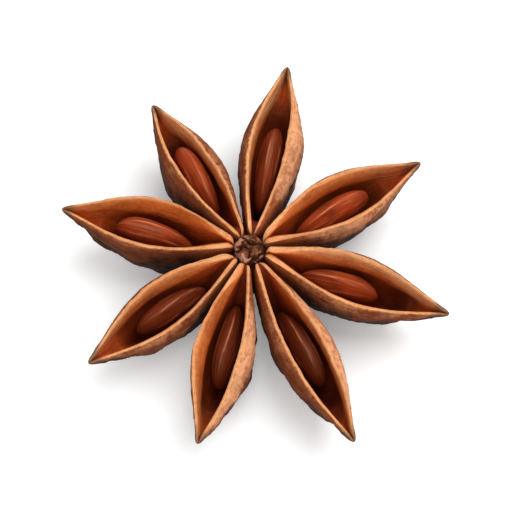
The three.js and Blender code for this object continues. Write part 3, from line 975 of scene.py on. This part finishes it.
# %% Join the husk
SLIVER = 3e-6  # metres
MOST_CORNERS = 4


def united(first, others):
    together = bpy.data.collections.new("husk pieces")
    for other in others:
        together.objects.link(other)
    union = first.modifiers.new("Union", "BOOLEAN")
    union.operation, union.solver = "UNION", "MANIFOLD"
    union.operand_type, union.collection = "COLLECTION", together
    evaluated = first.evaluated_get(bpy.context.evaluated_depsgraph_get())
    mesh = bpy.data.meshes.new_from_object(evaluated)
    for spent in (first, *others):
        bpy.data.objects.remove(spent)
    bpy.data.collections.remove(together)
    return mesh


def without_slivers(mesh):
    """Closes the hair-thin faces that a union leaves, and fans out those with many corners."""
    work = bmesh.new()
    work.from_mesh(mesh)
    bmesh.ops.dissolve_degenerate(work, dist=SLIVER, edges=work.edges)
    bmesh.ops.poke(work, faces=[face for face in work.faces if len(face.verts) > MOST_CORNERS])
    work.to_mesh(mesh)
    work.free()
    return mesh


husk_mesh = without_slivers(united(column, carpels))
print("husk triangles:", sum(len(face.vertices) - 2 for face in husk_mesh.polygons))

# %% [markdown]
# ## Into the frame
#
# The dressed husk belongs exactly where the frame's plain one stands. It is moved sideways until their
# middles agree, and the last few hundredths of a millimetre of bark that would stand out of the frame's
# box are pressed back to it, which also gives the keels the flats on which the pod rests.

# %% Into the frame
SHARP_FROM = 55  # degrees between two faces

corners = np.empty(len(husk_mesh.vertices) * 3)
husk_mesh.vertices.foreach_get("co", corners)
corners = corners.reshape(-1, 3)
to_frame = (husk_low + husk_high - corners.min(0) - corners.max(0)) / 2
to_frame[2] = 0
placed_corners = np.clip(corners + to_frame, husk_low, husk_high)
husk_mesh.vertices.foreach_set("co", placed_corners.ravel())
husk_mesh.shade_smooth()
husk_mesh.set_sharp_from_angle(angle=math.radians(SHARP_FROM))
husk = bpy.data.objects.new("dried_husk", husk_mesh)
bpy.context.collection.objects.link(husk)
print("moved to the frame by, mm:", (to_frame / MM).round(2))
print("stored on the husk:", [attribute.name for attribute in husk_mesh.attributes])

# %% [markdown]
# ## The seeds
#
# A seed is an almond set on edge, blunter at its outer end, with a keen ridge along its top and shallow
# flutes along its sides. It lies on the floor of its own carpel, so its tree asks the same rule how high
# that floor is, and slopes as the floor does. Squeezing a ball by hand would give one good seed, but a
# tree gives eight, each with its own length and place.

# %% A seed's place and shape
SEED_THICKNESS, SEED_HEIGHT, SEED_CLEARANCE, SEED_FEET = 2.6, 6, 0.35, 0.35
SEED_END_POWER, SEED_END_ROOT, SEED_BLUNTNESS = 2.3, 0.55, 0.14
SEED_FLUTES, SEED_FLUTE_DEPTH = 3.5, 0.04


def floor_height(g, c, distance):
    s = station(g, c, distance / c["length"])
    return s["top"] - s["lip drop"] - s["cavity"]


def seed_middle(g, c, along):
    """How high the seed's middle line is, which slopes as the floor does between the seed's feet."""
    foot = c["seed length"] * SEED_FEET
    slope = (floor_height(g, c, c["at"] + foot) - floor_height(g, c, c["at"] - foot)) / (foot * 2)
    return floor_height(g, c, c["at"]) + SEED_CLEARANCE + SEED_HEIGHT / 2 + slope * along


def seed_swell(c, a, turn):
    """How full the seed is at a, from -1 at its inner end to 1 at its outer one, and its flutes."""
    wander = (a * 2.2 + c["number"] * 1.7).sin() * 0.5
    flutes = (turn * SEED_FLUTES + wander).sin().math("ABSOLUTE")
    almond = (1 - a.math("ABSOLUTE") ** SEED_END_POWER).at_least(0) ** SEED_END_ROOT
    swell = almond * (1 + a * SEED_BLUNTNESS) * (1 - flutes * (1 - a**2) * SEED_FLUTE_DEPTH)
    return swell, flutes


print("a seed is", SEED_HEIGHT, "mm high and", SEED_THICKNESS, "mm thick")

# %% The seeds' tree
SEED_ALONG, SEED_AROUND = 64, 65
SEED_RIDGE, SEED_TOP_RIDGE = 0.14, 0.08
SEED_GRAIN_RADIUS = 2
FACET_STRETCH, FACET_HEIGHT, SEED_GROWTH = (0.12, 0.7, 0.7), 0.16, 0.02


def seed_tree(material):
    g, c = new_tree("Seed", ("number", *CARPEL_NAMES, *SEED_NAMES))
    mesh, u, v = grid(g, SEED_ALONG, SEED_AROUND)
    a = -1 * (u * math.pi).cos()
    turn = v * math.pi
    up = turn.cos()
    along = a * c["seed length"] / 2
    swell, flutes = seed_swell(c, a, turn)
    keen = up.at_least(0) ** 1.5 * SEED_TOP_RIDGE + up**2 * SEED_RIDGE
    across = swell * turn.sin() * (1 - keen) * (-SEED_THICKNESS / 2)
    z = seed_middle(g, c, along) + swell * up * (SEED_HEIGHT / 2)
    s = station(g, c, (c["at"] + along) / c["length"])
    grain = grain_place(g, along, v, SEED_GRAIN_RADIUS, c["number"])
    mesh = keep(g, mesh, "grain", grain, "FLOAT_VECTOR")
    mesh = keep(g, mesh, "darkness", c["darkness"])
    mesh = keep(g, mesh, "top", up)
    mesh = keep(g, mesh, "crest", (1 - flutes) * (1 - a**4))
    mesh = sewn(g, moved(g, mesh, Position=placed(g, c, s, across, z)), u, v)
    facets = g.speckle(kept(g, "grain", "FLOAT_VECTOR"), 1.0, 2, stretch=FACET_STRETCH) - 0.5
    end_tree(g, pushed(g, mesh, SEED_GROWTH - facets * FACET_HEIGHT), material)
    return g.tree


seed_growth = seed_tree(seed_skin)
print("nodes in the seed's tree:", len(seed_growth.nodes))

# %% [markdown]
# ## Eight seeds from one tree
#
# Every seed is grown with its carpel's sizes and its own, and moved with the husk. The distance between
# its middle and its node's tells whether it lies where the frame has it.

# %% Grow the seeds
seeds = []
for number, (carpel, seed) in enumerate(zip(CARPELS, SEEDS)):
    values = dict(zip(CARPEL_NAMES + SEED_NAMES, carpel + seed), number=number)
    grown_seed = grown(f"anise_seed_{number + 1}", seed_growth, values)
    grown_seed.data.transform(Matrix.Translation(Vector(to_frame)))
    grown_seed.data.shade_smooth()
    seeds.append(grown_seed)
    low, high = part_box(f"seed_{number + 1}")
    node_middle = (np.array(low) + np.array(high)) / 2
    middle = np.mean([corner.co for corner in grown_seed.data.vertices], axis=0)
    print(f"seed {number + 1}: off its node by, mm:", ((middle - node_middle) / MM).round(2))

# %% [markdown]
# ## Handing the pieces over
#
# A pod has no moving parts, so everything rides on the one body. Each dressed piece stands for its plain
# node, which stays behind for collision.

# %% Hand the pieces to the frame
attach(husk, "root")
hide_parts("husk")
for number, grown_seed in enumerate(seeds):
    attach(grown_seed, "root")
    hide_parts(f"seed_{number + 1}")
print("pieces handed over:", 1 + len(seeds))

# %% [markdown]
# ## The table
#
# The pod lies on a plain pale table that is much larger than it, so that no edge comes into view. A little
# light of its own keeps the table from greying towards the corners.

# %% The table
TABLE = tint(250, 249, 248)
TABLE_GLOW, TABLE_REACH = 0.2, 1.5


def table_finish():
    f = Finish("pale table", roughness=0.7)
    f.fix("Base Color", TABLE)
    f.fix("Emission Color", TABLE)
    f.fix("Emission Strength", TABLE_GLOW)
    f.fix("Specular IOR Level", 0.2)
    return f.material


table_mesh = bpy.data.meshes.new("table")
table_corners = [(x * TABLE_REACH, y * TABLE_REACH, 0) for x, y in ((-1, -1), (1, -1), (1, 1), (-1, 1))]
table_mesh.from_pydata(table_corners, [], [(0, 1, 2, 3)])
table_mesh.materials.append(table_finish())
table = bpy.data.objects.new("table", table_mesh)
bpy.context.collection.objects.link(table)
print("table side:", 2 * TABLE_REACH, "m")

# %% [markdown]
# ## Light
#
# One broad lamp behind and above, as a window would be, lays a long highlight along every seed. A weaker
# one in front opens the flanks that face the viewer, and a white sky fills the rest. The lamps are large
# for such a small thing, because a small lamp would draw hard shadows.

# %% Lamps and sky
LAMPS_AIM = (0, 0, 0.005)
SKY_STRENGTH = 0.58


def aimed(thing, place, target, up=(0, 1, 0)):
    """Sets a lamp or camera at a place, looking at a target with its upper side towards up."""
    forward = (Vector(target) - Vector(place)).normalized()
    right = forward.cross(Vector(up)).normalized()
    thing.location = place
    thing.rotation_euler = Matrix((right, right.cross(forward), -forward)).transposed().to_euler()


def lamp(name, place, side, power):
    light = bpy.data.lights.new(name, "AREA")
    light.shape, light.size, light.size_y, light.energy = "RECTANGLE", side, side, power
    holder = bpy.data.objects.new(name, light)
    bpy.context.collection.objects.link(holder)
    aimed(holder, place, LAMPS_AIM)
    print(name, power, "W,", side, "m wide")


lamp("window lamp", place=(0.15, 0.12, 0.42), side=0.42, power=1.78)
lamp("front lamp", place=(-0.12, -0.34, 0.42), side=0.4, power=0.78)

world = bpy.data.worlds.new("studio")
world.use_nodes = True
world.node_tree.nodes["Background"].inputs["Color"].default_value = (1, 1, 1, 1)
world.node_tree.nodes["Background"].inputs["Strength"].default_value = SKY_STRENGTH
bpy.context.scene.world = world
bpy.context.scene.view_settings.view_transform = "Standard"

# %% [markdown]
# ## The camera
#
# The camera looks down steeply, as one does at something on a table, through a long lens that keeps the
# near and the far carpels about equally large. It stands a little to the left of the pod and turns towards
# it, which shows slightly more of the left flanks.

# %% Camera
CAMERA_ELEVATION, CAMERA_DISTANCE = 65, 0.45
SENSOR, LENS = 36, 340  # millimetres, as on a real camera
CAP_TOP = 8.2
STAND_LEFT, STAND_UP = 14.6, 2.56  # of the cap, as the camera sees it
LOOK_RIGHT, LOOK_DOWN = 0.6, 0.8

frame_view = bpy.data.cameras.new("camera")
frame_view.sensor_width = SENSOR
frame_view.lens = LENS
frame_view.clip_start = 0.01
camera = bpy.data.objects.new("camera", frame_view)
bpy.context.collection.objects.link(camera)
elevation = math.radians(CAMERA_ELEVATION)
back = Vector((0, -math.cos(elevation), math.sin(elevation)))
image_up = Vector((0, math.sin(elevation), math.cos(elevation)))
cap_centre = Vector(to_frame) + Vector((0, 0, CAP_TOP * MM))
stand = cap_centre + Vector((-STAND_LEFT * MM, 0, 0)) + image_up * (STAND_UP * MM)
pod_middle = cap_centre + Vector((LOOK_RIGHT * MM, 0, 0)) - image_up * (LOOK_DOWN * MM)
aimed(camera, stand + back * CAMERA_DISTANCE, pod_middle, image_up)
bpy.context.scene.camera = camera
print("camera at", [round(part, 4) for part in camera.location])
